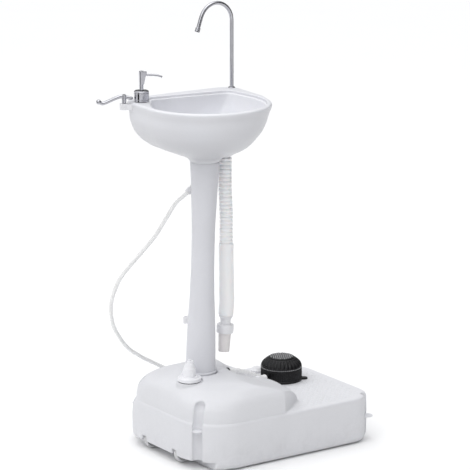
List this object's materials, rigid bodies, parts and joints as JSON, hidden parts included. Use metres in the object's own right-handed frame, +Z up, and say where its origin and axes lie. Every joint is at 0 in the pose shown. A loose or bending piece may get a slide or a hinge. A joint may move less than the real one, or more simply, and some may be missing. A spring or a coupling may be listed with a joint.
{
  "type": "portable camp wash stand",
  "caption": "Free-standing camp wash stand: basin with tap and soap pump on a hollow column, over a wheeled water tank with a foot pump.",
  "frame": {"origin": "centre of the tank's underside, on the floor", "axes": "+Z up; +X along the tank's long side towards the foot pump; -Y towards the side that the basin's round front faces"},
  "size_m": [0.6118, 0.419, 1.0868],
  "materials": {
    "hdpe_tank": "matt",
    "hdpe_column": "matt",
    "hdpe_basin": "satin",
    "wheel_plastic": "matt",
    "steel": "plain",
    "white_fitting": "satin",
    "hose_white": "satin",
    "hose_grey": "ribbed",
    "chrome": "polished",
    "seal_rubber": "matt",
    "pump_black": "moulded",
    "bottle": "translucent"
  },
  "bodies": {
    "stand": {"tank": "hdpe_tank", "wheel_axles": "steel", "column": "hdpe_column", "foot_screws": "steel", "neck_screws": "steel", "hose_clips": "white_fitting", "basin": "hdpe_basin", "drain_body": "white_fitting", "drain_strainer": "chrome", "drain_gasket": "seal_rubber", "drain_nut": "white_fitting", "drain_hose": "hose_grey", "drain_sleeve": "hose_grey", "drain_coupling": "white_fitting", "drain_nozzle": "hose_grey", "tap_base": "chrome", "tap_nut": "white_fitting", "supply_hose": "hose_white", "soap_collar": "chrome", "soap_gasket": "seal_rubber", "soap_bottle": "bottle", "soap_dip_tube": "bottle", "soap_spring": "steel", "towel_bracket": "white_fitting", "towel_pivot": "steel", "pump_base": "pump_black", "pump_screws": "steel", "pump_valves": "seal_rubber", "pump_spring": "steel", "pump_bellows": "pump_black", "pickup_tube": "bottle", "pickup_filter": "seal_rubber", "pump_hose": "hose_white", "hose_grommet": "seal_rubber", "outlet_tube": "hose_white", "outlet_barb": "white_fitting", "tank_plug": "white_fitting"},
    "wheel_left": {"wheel_left": "wheel_plastic"},
    "wheel_right": {"wheel_right": "wheel_plastic"},
    "tread": {"pump_tread": "pump_black"},
    "spout": {"tap_spout": "chrome", "tap_aerator": "chrome"},
    "soap_pump": {"soap_head": "chrome"},
    "towel_rail": {"towel_arm": "chrome"},
    "cap_seal": {"cap_gasket": "seal_rubber"},
    "cap": {"filler_cap": "white_fitting"}
  },
  "joints": [
    {"name": "left_wheel_spin", "type": "hinge", "parent": "stand", "child": "wheel_left", "pos_m": [-0.234, 0.067, 0.023], "axis": [0, 1, 0], "continuous": true},
    {"name": "right_wheel_spin", "type": "hinge", "parent": "stand", "child": "wheel_right", "pos_m": [-0.234, -0.067, 0.023], "axis": [0, 1, 0], "continuous": true},
    {"name": "pump_stroke", "type": "slide", "parent": "stand", "child": "tread", "axis": [0, 0, -1], "range_m": [0, 0.018], "stiffness_N_per_m": 2500, "springref_m": -0.012, "deforming": ["pump_bellows", "pump_spring"]},
    {"name": "spout_swivel", "type": "hinge", "parent": "stand", "child": "spout", "pos_m": [0.031, 0.109, 0.868], "axis": [0, 0, 1], "range_deg": [-60, 60]},
    {"name": "soap_press", "type": "slide", "parent": "stand", "child": "soap_pump", "axis": [0, 0, -1], "range_m": [0, 0.012], "stiffness_N_per_m": 400, "springref_m": -0.006, "deforming": ["soap_spring"]},
    {"name": "towel_swing", "type": "hinge", "parent": "stand", "child": "towel_rail", "pos_m": [-0.291, 0.094, 0.868], "axis": [0, 0, 1], "range_deg": [-60, 60]},
    {"name": "cap_lift", "type": "slide", "parent": "stand", "child": "cap_seal", "axis": [0, 0, 1], "range_m": [0, 0.06]},
    {"name": "cap_turn", "type": "hinge", "parent": "cap_seal", "child": "cap", "pos_m": [-0.199, -0.045, 0.192], "axis": [0, 0, 1], "continuous": true}
  ]
}
